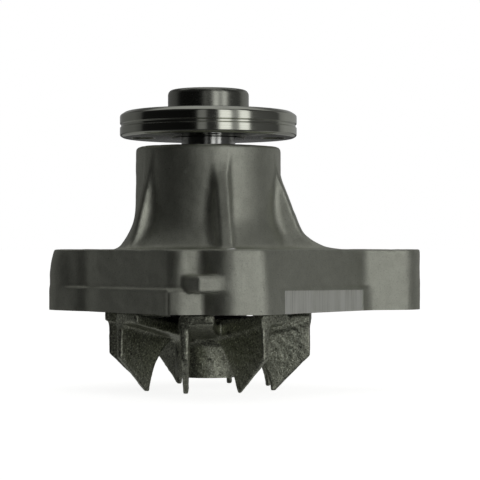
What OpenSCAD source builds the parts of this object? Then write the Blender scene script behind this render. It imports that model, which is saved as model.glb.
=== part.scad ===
// Automotive engine water pump: a ribbed cast housing, an integral shaft bearing with two rows of
// balls, a spring-loaded face seal, a turned pulley hub and an open cast impeller.
// The origin is on the shaft axis, in the plane of the gasket face. +Z points to the pulley end.
// The front of the pump faces -Y. Facing angles start at the front and grow towards +X.

/* [Pulley hub] */
// Diameter of the hub disc
disc_d = 62; // [58:0.5:66]
// Thickness of the hub disc
disc_t = 9.3; // [8.5:0.1:10]
// Diameter of the pilot boss that centres the pulley
pilot_d = 28.4; // [26:0.1:32]
// Height of the pilot boss above the disc
pilot_h = 7.7; // [6:0.1:10]
// Gap between the disc and the nose of the housing
hub_gap = 3.2; // [2.5:0.1:4]
// Number of tapped holes for the pulley
hub_bolts = 4; // [3:1:6]
// Tapping diameter of the pulley holes
hub_bolt_d = 6.8; // [5:0.1:7.2]
// Diameter of the circle the pulley holes lie on
hub_pcd = 45.5; // [43:0.5:48]

/* [Shaft and bearing] */
// Shaft diameter in the bearing and in the hub
shaft_d = 18.961; // [18.8:0.001:19.1]
// Shaft diameter at the seal and the impeller
shaft_end_d = 15.918; // [15.5:0.001:16.2]
// Outer diameter of the bearing's outer ring
ring_od = 38.1; // [38:0.05:39]
// Length of the bearing's outer ring
ring_len = 38.9; // [38:0.1:39]
// Ball diameter
ball_d = 7.938; // [7.8:0.001:8]
// Balls in each row
balls = 8; // [6:1:8]
// Distance from each end of the outer ring to the nearest ball row
row_inset = 9.6; // [9:0.1:11]

/* [Housing] */
// Outer diameter of the nose
nose_d = 50.8; // [49:0.1:52]
// Height of the nose above the gasket face
nose_top = 56.8; // [56.5:0.1:58]
// Thickness of the flange
flange_t = 21.2; // [20:0.1:23]
// Thickness of the wider gasket plate at the foot of the flange
plate_t = 7.6; // [6:0.1:9]
// How far the gasket plate stands out past the wall above it
plate_step = 1.2; // [0.6:0.1:1.6]
// Diameter of the holes for the bolts that hold the pump to the engine
flange_bolt_d = 8.6; // [8:0.1:9]
// Diameter of the recess above the impeller
chamber_d = 74.4; // [74:0.2:76]
// Width of a rib's crest
rib_crest = 3; // [2:0.1:4]
// Width of a rib where it meets the nose
rib_foot = 8.5; // [7:0.1:10]

/* [Impeller] */
// Diameter of the impeller
impeller_d = 72.4; // [70:0.2:72.4]
// Number of vanes
vanes = 8; // [8:1:8]
// Thickness of a vane
vane_t = 2.6; // [2:0.1:3]
// Distance from the shaft axis to the plane of each vane
vane_offset = 7.2; // [7:0.1:7.5]
// How far the vane tips reach below the gasket face
vane_depth = 27.7; // [27:0.1:29]
// Diameter of the impeller's central hub
impeller_hub_d = 23; // [22:0.1:24]

/* [Face seal] */
// Bore of the housing that the seal cup is pressed into
seal_bore_d = 36.5; // [36:0.1:37]
// Wall of the seal cup
cup_wall = 0.9; // [0.7:0.1:1.1]
// Turns of the seal spring
spring_turns = 3; // [2:0.5:3]
// Wire diameter of the seal spring
spring_wire = 1.4; // [1.2:0.1:1.5]

/* [Hidden] */
$fn = 96;

// Heights along the shaft axis
ring_top = nose_top - 0.6;
ring_bottom = ring_top - ring_len;
upper_row_z = ring_top - row_inset;
lower_row_z = ring_bottom + row_inset;
disc_bottom = nose_top + hub_gap;
disc_top = disc_bottom + disc_t;
pilot_top = disc_top + pilot_h;
shaft_top = pilot_top - 1;
shaft_step_z = ring_bottom - 0.5;
shaft_bottom = -22.4;
seal_seat_z = 3.6;
cup_top = 13.6;
cavity_top = ring_bottom;
mating_face_z = -0.8;

// Bearing
shaft_r = shaft_d / 2;
shaft_end_r = shaft_end_d / 2;
ball_r = ball_d / 2;
running_gap = 0.03;
pitch_r = 12.17;
ring_land_r = 15;
seal_groove_r = 15.7;
seal_t = 1.6;
seal_inset = 0.9;
cage_r = [10.8, 13.6];
cage_span = [-1.2, 5.4];

// Seal
cup_r = seal_bore_d / 2;
cup_lip_r = cup_r + 1.4;
carbon_r = [9.7, 12.4];
carbon_h = 4.2;
film_gap = 0.05;
seat_wall = 0.7;
bellows_wall = 0.8;
bellows_flange_t = 1;
neck_r = shaft_end_r + 1.6 + cup_wall + bellows_wall + 0.6;
mating_r = [8.9, 12.6];
mating_h = 3.9;
boot_r = 13.4;
boot_seat_z = -6;
spring_r = 15.4;
spring_sides = 8;
spring_steps = 24;

// Shape of the housing
rib_angles = [-53, 10, 71, 133, 195];
rib_slope = 20;
rib_top_z = 49;
rib_foot_z = 30;
rib_reach = 1.35;
rib_sink = 0.5;
flare_r = 6.6;
nose_taper_r = 0.9;
chamber_h = 2.4;

// Walls of the flange, in order round it: facing angle, distance from the shaft axis,
// share of the plate step, and radius of the corner that leads to the next wall.
flange_walls = [
    [-46, 41.9, 1, 13],
    [2, 47.6, 1, 8],
    [-48, 33, 0, 14],
    [50, 47.1, 1, 8],
    [17, 22.4, 0, 9.5],
    [165, 32.7, 0, 10],
    [128, 42.8, 1, 11],
    [219, 41.35, 1, 11.3]
];
// Centres of the bolts that hold the pump to the engine: front, right, back, left
flange_bolts = [[10.1, -42.6], [65.4, 6.5], [6, 44], [-44.8, 2.3]];
spotface_r = 7.8;
spotface_depth = 0.3;
// Cast pad beside the front bolt boss: outline and height span
pad_outline = [[-7.6, -47.2], [-2.4, -53], [0, -53.4], [10, -53.7], [12, -42], [-7, -42]];
pad_span = [7.3, 12.4];
weep_d = 5;
weep_angle = 164;
weep_rise = 24;

// Shape of the impeller
web_rim_z = [-3.8, -0.4];
web_foot_z = [-8.5, -4.2];
web_foot_r = 17.5;
vane_edge_z = -15.5;
vane_tip_r = 23.3;
vane_tip_w = 0.9;
vane_inner_bend = [19, -14];
vane_root = [11.2, -9.8];
scallop_start = 4.6;
scallop_r = 31;
impeller_hub_z = -23.2;

// Colours
cast_aluminium = [0.52, 0.52, 0.49];
turned_steel = [0.62, 0.62, 0.6];
cast_iron = [0.24, 0.235, 0.225];
bright_steel = [0.75, 0.75, 0.76];
black_rubber = [0.08, 0.08, 0.085];
carbon_black = [0.14, 0.14, 0.15];
ceramic_white = [0.9, 0.88, 0.82];
cage_nylon = [0.78, 0.72, 0.58];

// Direction that a facing angle points in
function facing(a) = [sin(a), -cos(a)];
function unit(v) = v / norm(v);
function wrap(a) = a > 180 ? a - 360 : a < -180 ? a + 360 : a;

// Where two walls meet, each given as its facing direction and its distance from the axis
function crossing(n1, d1, n2, d2) =
    [d1 * n2[1] - d2 * n1[1], d2 * n1[0] - d1 * n2[0]] / (n1[0] * n2[1] - n1[1] * n2[0]);

// Points of the arc that rounds the corner b between a and c
function corner_arc(a, b, c, r) =
    let (
        u = unit(a - b),
        w = unit(c - b),
        half = acos(u * w) / 2,
        centre = b + unit(u + w) * r / sin(half),
        from = b + u * r / tan(half) - centre,
        to = b + w * r / tan(half) - centre,
        start = atan2(from[1], from[0]),
        sweep = wrap(atan2(to[1], to[0]) - start),
        steps = ceil(abs(sweep) / 9)
    )
    [for (i = [0:steps]) centre + r * [cos(start + sweep * i / steps), sin(start + sweep * i / steps)]];

// Outline of the flange, with its walls moved in by their share of inset
function flange_outline(inset) =
    let (
        n = len(flange_walls),
        corners = [for (i = [0:n - 1])
            let (p = flange_walls[i], q = flange_walls[(i + 1) % n])
            crossing(facing(p[0]), p[1] - inset * p[2], facing(q[0]), q[1] - inset * q[2])]
    )
    [for (i = [0:n - 1])
        each corner_arc(corners[(i + n - 1) % n], corners[i], corners[(i + 1) % n], flange_walls[i][3])];

// Points of a quarter arc that eases an upright line into a level one
function flare(r, z, size) =
    [for (a = [0:9:90]) [r + size * (1 - cos(a)), z + size * (1 - sin(a))]];

// A point of the curve with end points p and q that bends towards b
function bend(p, b, q, t) = (1 - t) * (1 - t) * p + 2 * t * (1 - t) * b + t * t * q;

module ring(outer_r, inner_r, z0, z1) {
    translate([0, 0, z0])
        difference() {
            cylinder(r = outer_r, h = z1 - z0);
            translate([0, 0, -1])
                cylinder(r = inner_r, h = z1 - z0 + 2);
        }
}

module nose() {
    nose_r = nose_d / 2;
    rotate_extrude()
        polygon(concat(
            [[0, flange_t - 1], [0, nose_top], [nose_r - 0.7, nose_top], [nose_r, nose_top - 0.7]],
            [[nose_r, flange_t + 14]],
            [for (p = flare(nose_r + nose_taper_r, flange_t, flare_r)) [p[0], p[1]]],
            [[nose_r + nose_taper_r + flare_r, flange_t - 1]]
        ));
}

module rib() {
    crest_r = nose_d / 2 + (rib_top_z - rib_foot_z) * tan(rib_slope);
    foot_h = rib_foot_z - flange_t + rib_sink;
    foot_arc = [for (a = [rib_slope:10:90])
        [
            crest_r + foot_h * rib_reach * (cos(rib_slope) - cos(a)),
            rib_foot_z - foot_h * (sin(a) - sin(rib_slope)) / (1 - sin(rib_slope))
        ]];
    side = concat(
        [[ring_od / 2 + 2, flange_t - 2], [ring_od / 2 + 2, rib_top_z], [nose_d / 2, rib_top_z]],
        foot_arc,
        [[foot_arc[len(foot_arc) - 1][0], flange_t - 2]]
    );
    rotate([90, 0, 0])
        linear_extrude(height = rib_crest, center = true)
            polygon(side);
    intersection() {
        rotate([90, 0, 0])
            linear_extrude(height = rib_foot, center = true)
                polygon(side);
        translate([crest_r, 0, rib_foot_z])
            rotate([0, -rib_slope, 0])
                linear_extrude(height = 80, center = true)
                    polygon([[-0.3, rib_crest / 2], [-0.3, -rib_crest / 2], [-5, -rib_foot / 2 - 0.1],
                        [-25, -rib_foot / 2 - 0.1], [-25, rib_foot / 2 + 0.1], [-5, rib_foot / 2 + 0.1]]);
    }
}

module flange() {
    linear_extrude(height = plate_t)
        polygon(flange_outline(0));
    translate([0, 0, plate_t - 1])
        linear_extrude(height = flange_t - plate_t + 1)
            polygon(flange_outline(plate_step));
    translate([0, 0, pad_span[0]])
        linear_extrude(height = pad_span[1] - pad_span[0])
            polygon(pad_outline);
}

// The ribs, cut off where they would reach past the flange
module rib_set() {
    intersection() {
        union() {
            for (a = rib_angles) {
                rotate([0, 0, a - 90])
                    rib();
            }
        }
        linear_extrude(height = nose_top)
            polygon(flange_outline(plate_step));
    }
}

module pump_housing() {
    color(cast_aluminium)
        difference() {
            union() {
                nose();
                flange();
                rib_set();
            }
            translate([0, 0, ring_bottom])
                cylinder(d = ring_od, h = ring_len + 10);
            translate([0, 0, cup_top - 1])
                cylinder(r = cup_r - 3, h = cavity_top - cup_top + 2);
            translate([0, 0, -1])
                cylinder(d = seal_bore_d, h = cup_top + 1);
            rotate_extrude()
                polygon([
                    [0, -1],
                    [chamber_d / 2, -1],
                    [chamber_d / 2, chamber_h - 0.8],
                    [chamber_d / 2 - 0.8, chamber_h],
                    [cup_lip_r + 1, seal_seat_z],
                    [0, seal_seat_z]
                ]);
            for (p = flange_bolts) {
                translate([p[0], p[1], -1])
                    cylinder(d = flange_bolt_d, h = flange_t + 4);
                translate([p[0], p[1], flange_t - spotface_depth])
                    cylinder(r = spotface_r, h = 20);
            }
            rotate([0, 0, weep_angle - 90])
                translate([cup_r - 6, 0, cavity_top - 1.8])
                    rotate([0, 90 - weep_rise, 0])
                        cylinder(d = weep_d, h = 40, $fn = 48);
        }
}

module bearing_outer_ring() {
    outer_r = ring_od / 2;
    color(bright_steel)
        difference() {
            rotate_extrude()
                polygon([
                    [ring_land_r, ring_bottom],
                    [outer_r - 0.6, ring_bottom],
                    [outer_r, ring_bottom + 0.6],
                    [outer_r, ring_top - 0.6],
                    [outer_r - 0.6, ring_top],
                    [ring_land_r, ring_top]
                ]);
            for (z = [lower_row_z, upper_row_z]) {
                translate([0, 0, z])
                    rotate_extrude()
                        translate([pitch_r, 0])
                            circle(r = ball_r + running_gap);
            }
            for (z = [ring_bottom + seal_inset, ring_top - seal_inset - seal_t]) {
                translate([0, 0, z])
                    cylinder(r = seal_groove_r, h = seal_t);
            }
        }
}

// A lip seal whose lip leans towards side: 1 is up and -1 is down
module lip_seal(z, side) {
    color(black_rubber)
        translate([0, 0, z])
            mirror([0, 0, side < 0 ? 1 : 0])
                rotate_extrude()
                    polygon([
                        [seal_groove_r, -seal_t / 2],
                        [seal_groove_r, seal_t / 2],
                        [ring_land_r - 0.3, seal_t / 2],
                        [ring_land_r - 1, 0.2],
                        [shaft_r + 1.6, 0.2],
                        [shaft_r + 0.5, seal_t / 2],
                        [shaft_r + running_gap, seal_t / 2],
                        [shaft_r + running_gap, seal_t / 2 - 0.5],
                        [shaft_r + 1, -seal_t / 2]
                    ]);
}

module upper_bearing_seal() {
    lip_seal(ring_top - seal_inset - seal_t / 2, 1);
}

module lower_bearing_seal() {
    lip_seal(ring_bottom + seal_inset + seal_t / 2, -1);
}

module seal_cup() {
    color(bright_steel)
        rotate_extrude()
            polygon([
                [cup_lip_r, seal_seat_z - cup_wall],
                [cup_lip_r, seal_seat_z],
                [cup_r, seal_seat_z],
                [cup_r, cup_top - 1.2],
                [cup_r - 1.2, cup_top],
                [shaft_end_r + 1.6, cup_top],
                [shaft_end_r + 1.6, cup_top - 3],
                [shaft_end_r + 1.6 + cup_wall, cup_top - 3],
                [shaft_end_r + 1.6 + cup_wall, cup_top - cup_wall],
                [cup_r - 1.2 - cup_wall / 2, cup_top - cup_wall],
                [cup_r - cup_wall, cup_top - 1.2 - cup_wall / 2],
                [cup_r - cup_wall, seal_seat_z - cup_wall]
            ]);
}

module carbon_ring() {
    z0 = mating_face_z + film_gap;
    color(carbon_black)
        rotate_extrude()
            polygon([
                [carbon_r[0] + 0.6, z0],
                [carbon_r[1] - 0.9, z0],
                [carbon_r[1] - 0.9, z0 + 1],
                [carbon_r[1], z0 + 1.2],
                [carbon_r[1], z0 + carbon_h],
                [carbon_r[0], z0 + carbon_h],
                [carbon_r[0], z0 + 1]
            ]);
}

module spring_seat() {
    z0 = mating_face_z + film_gap + 1.6;
    outer = carbon_r[1] + seat_wall;
    color(bright_steel)
        rotate_extrude()
            polygon([
                [carbon_r[1], z0],
                [spring_r + spring_wire, z0],
                [spring_r + spring_wire, z0 + seat_wall],
                [outer, z0 + seat_wall],
                [outer, z0 + carbon_h],
                [carbon_r[1], z0 + carbon_h]
            ]);
}

module seal_bellows() {
    z0 = mating_face_z + film_gap + carbon_h;
    z1 = cup_top - cup_wall;
    inner = shaft_end_r + 1.6 + cup_wall;
    color(black_rubber)
        rotate_extrude()
            polygon([
                [inner, z0],
                [carbon_r[1], z0],
                [carbon_r[1], z0 + 1.2],
                [inner + bellows_wall + 0.4, z0 + 2.2],
                [inner + bellows_wall + 1.4, z0 + 4],
                [inner + bellows_wall, z0 + 5.6],
                [neck_r, z1 - 3.2],
                [neck_r, z1 - bellows_flange_t],
                [neck_r + 2, z1 - bellows_flange_t],
                [neck_r + 2, z1],
                [inner, z1],
                [inner, z1 - 2.4],
                [inner, z0 + 5.6],
                [inner + 1.2, z0 + 4],
                [inner + 0.3, z0 + 2]
            ]);
}

// Clamps the bellows to the cup under the upper end of the spring
module spring_retainer() {
    z1 = cup_top - cup_wall - bellows_flange_t;
    color(bright_steel)
        rotate_extrude()
            polygon([
                [neck_r, z1 - 2],
                [neck_r + seat_wall, z1 - 2],
                [neck_r + seat_wall, z1 - seat_wall],
                [spring_r + spring_wire, z1 - seat_wall],
                [spring_r + spring_wire, z1],
                [neck_r, z1]
            ]);
}

// A coil of round wire about the Z axis, from z0 up to z1 along the wire's centre
module seal_spring() {
    z0 = mating_face_z + film_gap + 1.6 + seat_wall + spring_wire / 2 + 0.02;
    z1 = cup_top - cup_wall - bellows_flange_t - seat_wall - spring_wire / 2 - 0.02;
    steps = spring_turns * spring_steps;
    points = [for (i = [0:steps], k = [0:spring_sides - 1])
        let (
            a = 360 * spring_turns * i / steps,
            b = 360 * k / spring_sides,
            r = spring_r + spring_wire / 2 * cos(b)
        )
        [r * cos(a), r * sin(a), z0 + (z1 - z0) * i / steps + spring_wire / 2 * sin(b)]];
    sides = [for (i = [0:steps - 1], k = [0:spring_sides - 1])
        let (
            p = i * spring_sides + k,
            q = i * spring_sides + (k + 1) % spring_sides
        )
        each [[p, p + spring_sides, q], [q, p + spring_sides, q + spring_sides]]];
    start_cap = [for (k = [0:spring_sides - 1]) k];
    end_cap = [for (k = [spring_sides - 1:-1:0]) steps * spring_sides + k];
    color(bright_steel)
        polyhedron(points = points, faces = concat(sides, [start_cap, end_cap]));
}

module pulley_hub() {
    disc_r = disc_d / 2;
    pilot_r = pilot_d / 2;
    groove_z = disc_bottom + 0.47 * disc_t;
    color(turned_steel)
        difference() {
            rotate_extrude()
                polygon([
                    [shaft_r, disc_bottom],
                    [disc_r - 0.8, disc_bottom],
                    [disc_r, disc_bottom + 0.8],
                    [disc_r, groove_z - 0.7],
                    [disc_r - 0.7, groove_z],
                    [disc_r, groove_z + 0.7],
                    [disc_r, disc_top - 1.3],
                    [disc_r - 1.8, disc_top],
                    [pilot_r, disc_top],
                    [pilot_r, pilot_top - 1.2],
                    [pilot_r - 0.36, pilot_top - 0.36],
                    [pilot_r - 1.2, pilot_top],
                    [shaft_r + 0.8, pilot_top],
                    [shaft_r, pilot_top - 0.8]
                ]);
            for (i = [0:hub_bolts - 1]) {
                rotate([0, 0, i * 360 / hub_bolts])
                    translate([hub_pcd / 2, 0, disc_bottom - 1])
                        cylinder(d = hub_bolt_d, h = disc_t + 2);
            }
        }
}

module bearing_shaft() {
    color(bright_steel)
        difference() {
            rotate_extrude()
                polygon([
                    [0, shaft_bottom],
                    [shaft_end_r - 0.8, shaft_bottom],
                    [shaft_end_r, shaft_bottom + 0.8],
                    [shaft_end_r, shaft_step_z],
                    [shaft_r - 0.4, shaft_step_z],
                    [shaft_r, shaft_step_z + 0.4],
                    [shaft_r, shaft_top - 0.8],
                    [shaft_r - 0.8, shaft_top],
                    [0, shaft_top]
                ]);
            for (z = [lower_row_z, upper_row_z]) {
                translate([0, 0, z])
                    rotate_extrude()
                        translate([pitch_r, 0])
                            circle(r = ball_r + running_gap);
            }
        }
}

module vane() {
    rim_r = impeller_d / 2 - 0.4;
    edge = sqrt(rim_r * rim_r - vane_offset * vane_offset);
    tip = [sqrt(vane_tip_r * vane_tip_r - vane_offset * vane_offset), -vane_depth];
    side = concat(
        [[edge, -2.6], [edge, vane_edge_z], [tip[0] + vane_tip_w, tip[1]]],
        [for (t = [0:0.125:1]) bend(tip, vane_inner_bend, vane_root, t)],
        [[vane_root[0], -7.4]]
    );
    translate([-vane_offset, 0, 0])
        rotate([0, 0, -90])
            rotate([90, 0, 0])
                linear_extrude(height = vane_t, center = true)
                    polygon(side);
}

// The gap cut in the back plate between the end of one vane's sector and the next vane
module scallop() {
    next = facing(360 / vanes);
    across = [next[1], -next[0]];
    face = vane_offset + vane_t / 2;
    inner = sqrt(web_foot_r * web_foot_r - face * face) * next + face * across;
    outer = (impeller_d / 2 + 4) * next + face * across;
    start = facing(scallop_start);
    translate([0, 0, -12])
        linear_extrude(height = 14)
            polygon(concat(
                [(impeller_d / 2 + 4) * start],
                [for (t = [0:0.125:1]) bend(scallop_r * start, 21 * facing(7), inner, t)],
                [outer]
            ));
}

module impeller() {
    hub_r = impeller_hub_d / 2;
    rim_r = impeller_d / 2;
    seat_r = boot_r + 0.2;
    seat_edge_z = web_foot_z[1] - (web_foot_r - seat_r) * 0.2;
    color(cast_iron)
        difference() {
            union() {
                difference() {
                    rotate_extrude()
                        polygon([
                            [shaft_end_r, impeller_hub_z],
                            [hub_r - 0.8, impeller_hub_z],
                            [hub_r, impeller_hub_z + 0.8],
                            [hub_r, -11.6],
                            [hub_r + 1.4, -10],
                            [web_foot_r, web_foot_z[0]],
                            [rim_r, web_rim_z[0]],
                            [rim_r, web_rim_z[1]],
                            [web_foot_r, web_foot_z[1]],
                            [seat_r, seat_edge_z],
                            [seat_r, boot_seat_z],
                            [shaft_end_r, boot_seat_z]
                        ]);
                    for (i = [0:vanes - 1]) {
                        rotate([0, 0, i * 360 / vanes])
                            scallop();
                    }
                }
                for (i = [0:vanes - 1]) {
                    rotate([0, 0, i * 360 / vanes])
                        vane();
                }
            }
            translate([0, 0, impeller_hub_z - 8])
                cylinder(r = shaft_end_r, h = 40);
        }
}

module mating_ring() {
    z0 = mating_face_z - mating_h;
    color(ceramic_white)
        rotate_extrude()
            polygon([
                [mating_r[0], z0],
                [mating_r[1] - 0.4, z0],
                [mating_r[1], z0 + 0.4],
                [mating_r[1], mating_face_z - 0.3],
                [mating_r[1] - 0.3, mating_face_z],
                [mating_r[0] + 0.3, mating_face_z],
                [mating_r[0], mating_face_z - 0.3]
            ]);
}

module mating_ring_boot() {
    z0 = mating_face_z - mating_h;
    color(black_rubber)
        rotate_extrude()
            polygon([
                [shaft_end_r, boot_seat_z],
                [boot_r, boot_seat_z],
                [boot_r, mating_face_z - 1.2],
                [boot_r - 0.4, mating_face_z - 0.8],
                [mating_r[1], mating_face_z - 0.8],
                [mating_r[1], z0 + 0.4],
                [mating_r[1] - 0.4, z0],
                [mating_r[0], z0],
                [mating_r[0], z0 + 2],
                [shaft_end_r, z0 + 2]
            ]);
}

module slinger() {
    z0 = cup_top + 0.8;
    color(bright_steel)
        rotate_extrude()
            polygon([
                [shaft_end_r, z0],
                [shaft_end_r + 1, z0],
                [shaft_end_r + 1, z0 + 1],
                [shaft_end_r + 4, z0 + 0.2],
                [shaft_end_r + 4.4, z0 + 1],
                [shaft_end_r + 1, z0 + 2],
                [shaft_end_r, z0 + 2]
            ]);
}

module ball_row(z) {
    color(bright_steel)
        for (i = [0:balls - 1]) {
            rotate([0, 0, i * 360 / balls])
                translate([pitch_r, 0, z])
                    sphere(r = ball_r, $fn = 48);
        }
}

// A snap cage: side is 1 where its solid back is above the balls and -1 where it is below them
module ball_cage(z, side) {
    color(cage_nylon)
        translate([0, 0, z])
            mirror([0, 0, side < 0 ? 1 : 0])
                difference() {
                    ring(cage_r[1], cage_r[0], cage_span[0], cage_span[1]);
                    for (i = [0:balls - 1]) {
                        rotate([0, 0, i * 360 / balls])
                            translate([pitch_r, 0, 0])
                                sphere(r = ball_r + 2 * running_gap, $fn = 48);
                    }
                }
}

module upper_balls() {
    ball_row(upper_row_z);
}

module upper_ball_cage() {
    ball_cage(upper_row_z, -1);
}

module lower_balls() {
    ball_row(lower_row_z);
}

module lower_ball_cage() {
    ball_cage(lower_row_z, 1);
}

pump_housing();
bearing_outer_ring();
upper_bearing_seal();
lower_bearing_seal();
seal_cup();
seal_bellows();
seal_spring();
spring_seat();
spring_retainer();
carbon_ring();
pulley_hub();
bearing_shaft();
impeller();
mating_ring();
mating_ring_boot();
slinger();
upper_balls();
upper_ball_cage();
lower_balls();
lower_ball_cage();
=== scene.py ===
import math

import bmesh
import bpy
import numpy as np
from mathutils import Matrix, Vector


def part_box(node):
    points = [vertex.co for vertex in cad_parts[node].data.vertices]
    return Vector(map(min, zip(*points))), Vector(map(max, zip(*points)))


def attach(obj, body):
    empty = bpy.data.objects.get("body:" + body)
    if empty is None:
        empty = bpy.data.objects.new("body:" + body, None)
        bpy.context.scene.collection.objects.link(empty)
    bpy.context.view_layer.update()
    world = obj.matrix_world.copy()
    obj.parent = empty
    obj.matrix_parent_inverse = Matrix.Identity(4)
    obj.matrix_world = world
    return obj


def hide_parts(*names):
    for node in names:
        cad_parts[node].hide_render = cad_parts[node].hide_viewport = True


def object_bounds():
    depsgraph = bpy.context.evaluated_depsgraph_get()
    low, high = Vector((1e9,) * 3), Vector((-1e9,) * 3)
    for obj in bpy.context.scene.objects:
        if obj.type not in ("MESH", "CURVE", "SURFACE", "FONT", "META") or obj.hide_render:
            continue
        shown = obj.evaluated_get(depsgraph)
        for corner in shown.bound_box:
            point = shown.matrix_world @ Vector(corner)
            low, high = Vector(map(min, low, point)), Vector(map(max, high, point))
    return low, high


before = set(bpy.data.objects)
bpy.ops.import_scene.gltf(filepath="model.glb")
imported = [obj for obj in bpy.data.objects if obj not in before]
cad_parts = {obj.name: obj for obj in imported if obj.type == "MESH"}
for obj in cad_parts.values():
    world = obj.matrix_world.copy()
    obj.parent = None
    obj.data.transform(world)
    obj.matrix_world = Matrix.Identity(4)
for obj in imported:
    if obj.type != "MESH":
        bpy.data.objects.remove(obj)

import openvdb
from mathutils import Matrix

CAD_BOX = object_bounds()
MM = 0.001
CAST, MACHINED, MILLED = 0, 1, 2

# Sizes below are in millimetres in the row frame: the origin is on the shaft axis in the plane
# of the gasket face, +Z points to the pulley and the front faces -Y. A facing angle is measured
# about the axis from the front and grows towards +X.

# Housing. The lower plate reaches up to PLATE_TOP, and the wall has stepped in by LEDGE_TOP.
FLANGE_TOP = 21.2
PLATE_TOP = 7.7
LEDGE_TOP = 8.9
PLATE_STEP = 1.2
NOSE_R = 25.4
FLARE = 6.6
FLARE_FROM = 40.0
FLARE_POWER = 2.6
# Ribs: facing angle, how fast the crest leans out, how far its toe runs out along the flange,
# width of the crest, its twist, and the draft of each flank, the one facing -X in front first
RIBS = (
    (-53, 0.27, 2.6, 3.0, 0, 0.34, 0.34),
    (11.2, 0.39, 0.0, 4.2, 0.22, 0.34, 0.10),
    (71, 0.40, 9.5, 3.0, 0, 0.34, 0.34),
    (133, 0.40, 7.0, 3.0, 0, 0.34, 0.34),
    (195, 0.36, 3.0, 3.0, 0, 0.34, 0.34),
)
RIB_TOP = 49.0
RIB_TOE_FROM = 31.0
RIB_TOE_POWER = 3.3
RIB_EDGE = 0.9
# Walls in order round the flange: facing angle, distance from the axis, share of the plate
# step, and radius of the corner that leads to the next wall
FLANGE_WALLS = (
    (-46, 41.9, 1, 7), (8, 46.8, 1, 4.5), (-48, 31.5, 0, 10), (12, 52.5, 0.5, 9), (50, 47.1, 1, 8),
    (17, 22.4, 0, 9.5), (165, 32.7, 0, 10), (128, 42.8, 1, 11), (219, 41.35, 1, 11.3),
)
RIGHT_WALL = 4
# Where the ledge fades out along X: at each end of the front boss, and on the left ear
BOSS_LEFT, BOSS_RIGHT, BOSS_BACK_Y = (-6, 0), (29, 23), -20
EAR_FADE = (-46, -52)
EAR_DRAFT_FROM = 12
# A shallow hollow in the wall beside the left ear: depth, place along X and half width
GROOVE, GROOVE_X, GROOVE_HALF = 0.95, -41.5, 2.8
BOLT_CENTRES = ((10.1, -42.6), (65.4, 6.5), (6, 44), (-44.8, 2.3))
BOLT_R = 4.3
SPOTFACE_R = 6.9
SPOTFACE_Z = 20.9
PAD_OUTLINE = ((-7.6, -47.2), (-2.4, -52.6), (12, -50.5), (12, -42), (-7, -42))
PAD_SPAN = (7.3, 12.8)
LOBE_CENTRE, LOBE_R, LOBE_TOP = (-9.9, -20), 28.6, 7.5
LOBE_LEFT, LOBE_RIGHT, LOBE_BACK_Y = -12.4, 12, -40
# Fillets between the shapes of the casting, and its free edges
RIB_FILLET, NOSE_FILLET, PAD_FILLET = 2.2, 1.6, 0.8
FLANGE_EDGE, PAD_EDGE, PAD_TOP_EDGE, LOBE_EDGE = 0.7, 0.6, 1.8, 0.8
# The milled strip along its wall: ends, height, depth of cut, and tilt in degrees
STRIP_ENDS, STRIP_TOP, STRIP_DEPTH, STRIP_TILT = (-15.8, 27.6), 7.5, 0.4, 0.6
# Unevenness of the cast skin: depth, size of a bump, and seed
HOUSING_SKIN = ((0.045, 5, 11), (0.02, 1.6, 12))
WEEP_ANGLE, WEEP_RISE, WEEP_R = 164, 24, 2.5
CUP_R = 18.25
CAVITY_R = 15.25
CUP_TOP = 13.6
CHAMBER_R = 37.2

# Impeller. The points of a vane are (distance along the vane, height), and VANE_OFFSET is how
# far its middle plane passes from the axis.
IMPELLER_R = 36.2
VANES = 8
VANE_OFFSET = 7.2
VANE_EDGE_S = 35.42
VANE_EDGE_Z = -15.5
VANE_TIP = (22.16, -27.7)
VANE_ROOT = (11.2, -9.8)
VANE_BEND = (19.0, -14.0)
VANE_TOP = -2.4
# Half the thickness of a vane at its tip, how much it gains, and where and over what height
VANE_HALF, VANE_GAIN, VANE_GAIN_FROM, VANE_GAIN_OVER = 0.95, 0.55, -26, 20
VANE_FILLET, HUB_FILLET = 2.0, 3.2
# Roundings of a vane: its outer edges, its inner edge and its flanks
VANE_OUTER_EDGE, VANE_INNER_EDGE, VANE_FLANK = 0.3, 0.4, 0.7
# Back plate: height at WEB_FOOT_R and slope, of its upper and its lower face
WEB_FOOT_R = 17.5
WEB_UPPER, WEB_LOWER = (-4.2, 0.219), (-8.5, 0.251)
# Scallop: distance and angle past its vane of the curve's start and bend, and the metal that
# is left beside the next vane
SCALLOP_START, SCALLOP_BEND, SCALLOP_GAP = (31, 4.6), (21, 7), 1.5
IMPELLER_HUB_R = 11.5
IMPELLER_HUB_Z = -23.2
IMPELLER_HUB_TOP = -4.8
IMPELLER_HUB_TAPER = 0.03
IMPELLER_BORE_R = 7.959
BOOT_SEAT_R = 13.6
BOOT_SEAT_Z = -6.0
# Unevenness of the vanes and of the cast skin: depth, size of a bump, and seed
VANE_WANDER = (0.03, 5, 21)
IMPELLER_GRIT = ((0.035, 0.9, 22), (0.03, 2.0, 23))

# Pulley hub
DISC_TOP = 69.3
PILOT_R = 14.2
PULLEY_HOLE_RING_R = 22.75
RIM_GROOVE_DEPTH = 0.38


# ---------------------------------------------------------------- fields and meshes

def facing(angle):
    """The unit vector that a facing angle points along."""
    a = math.radians(angle)
    return np.array([math.sin(a), -math.cos(a)])


def smooth_min(a, b, k):
    """The union of two fields, with a fillet of about k mm where they meet."""
    h = np.clip(0.5 + 0.5 * (b - a) / k, 0, 1)
    return b + (a - b) * h - k * h * (1 - h)


def smooth_max(a, b, k):
    """The overlap of two fields, with its edge rounded by about k mm."""
    return -smooth_min(-a, -b, k)


def ease(low, high, value):
    """Rises softly from 0 to 1 as value goes from low to high."""
    t = np.clip((value - low) / (high - low), 0, 1)
    return t * t * (3 - 2 * t)


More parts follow.
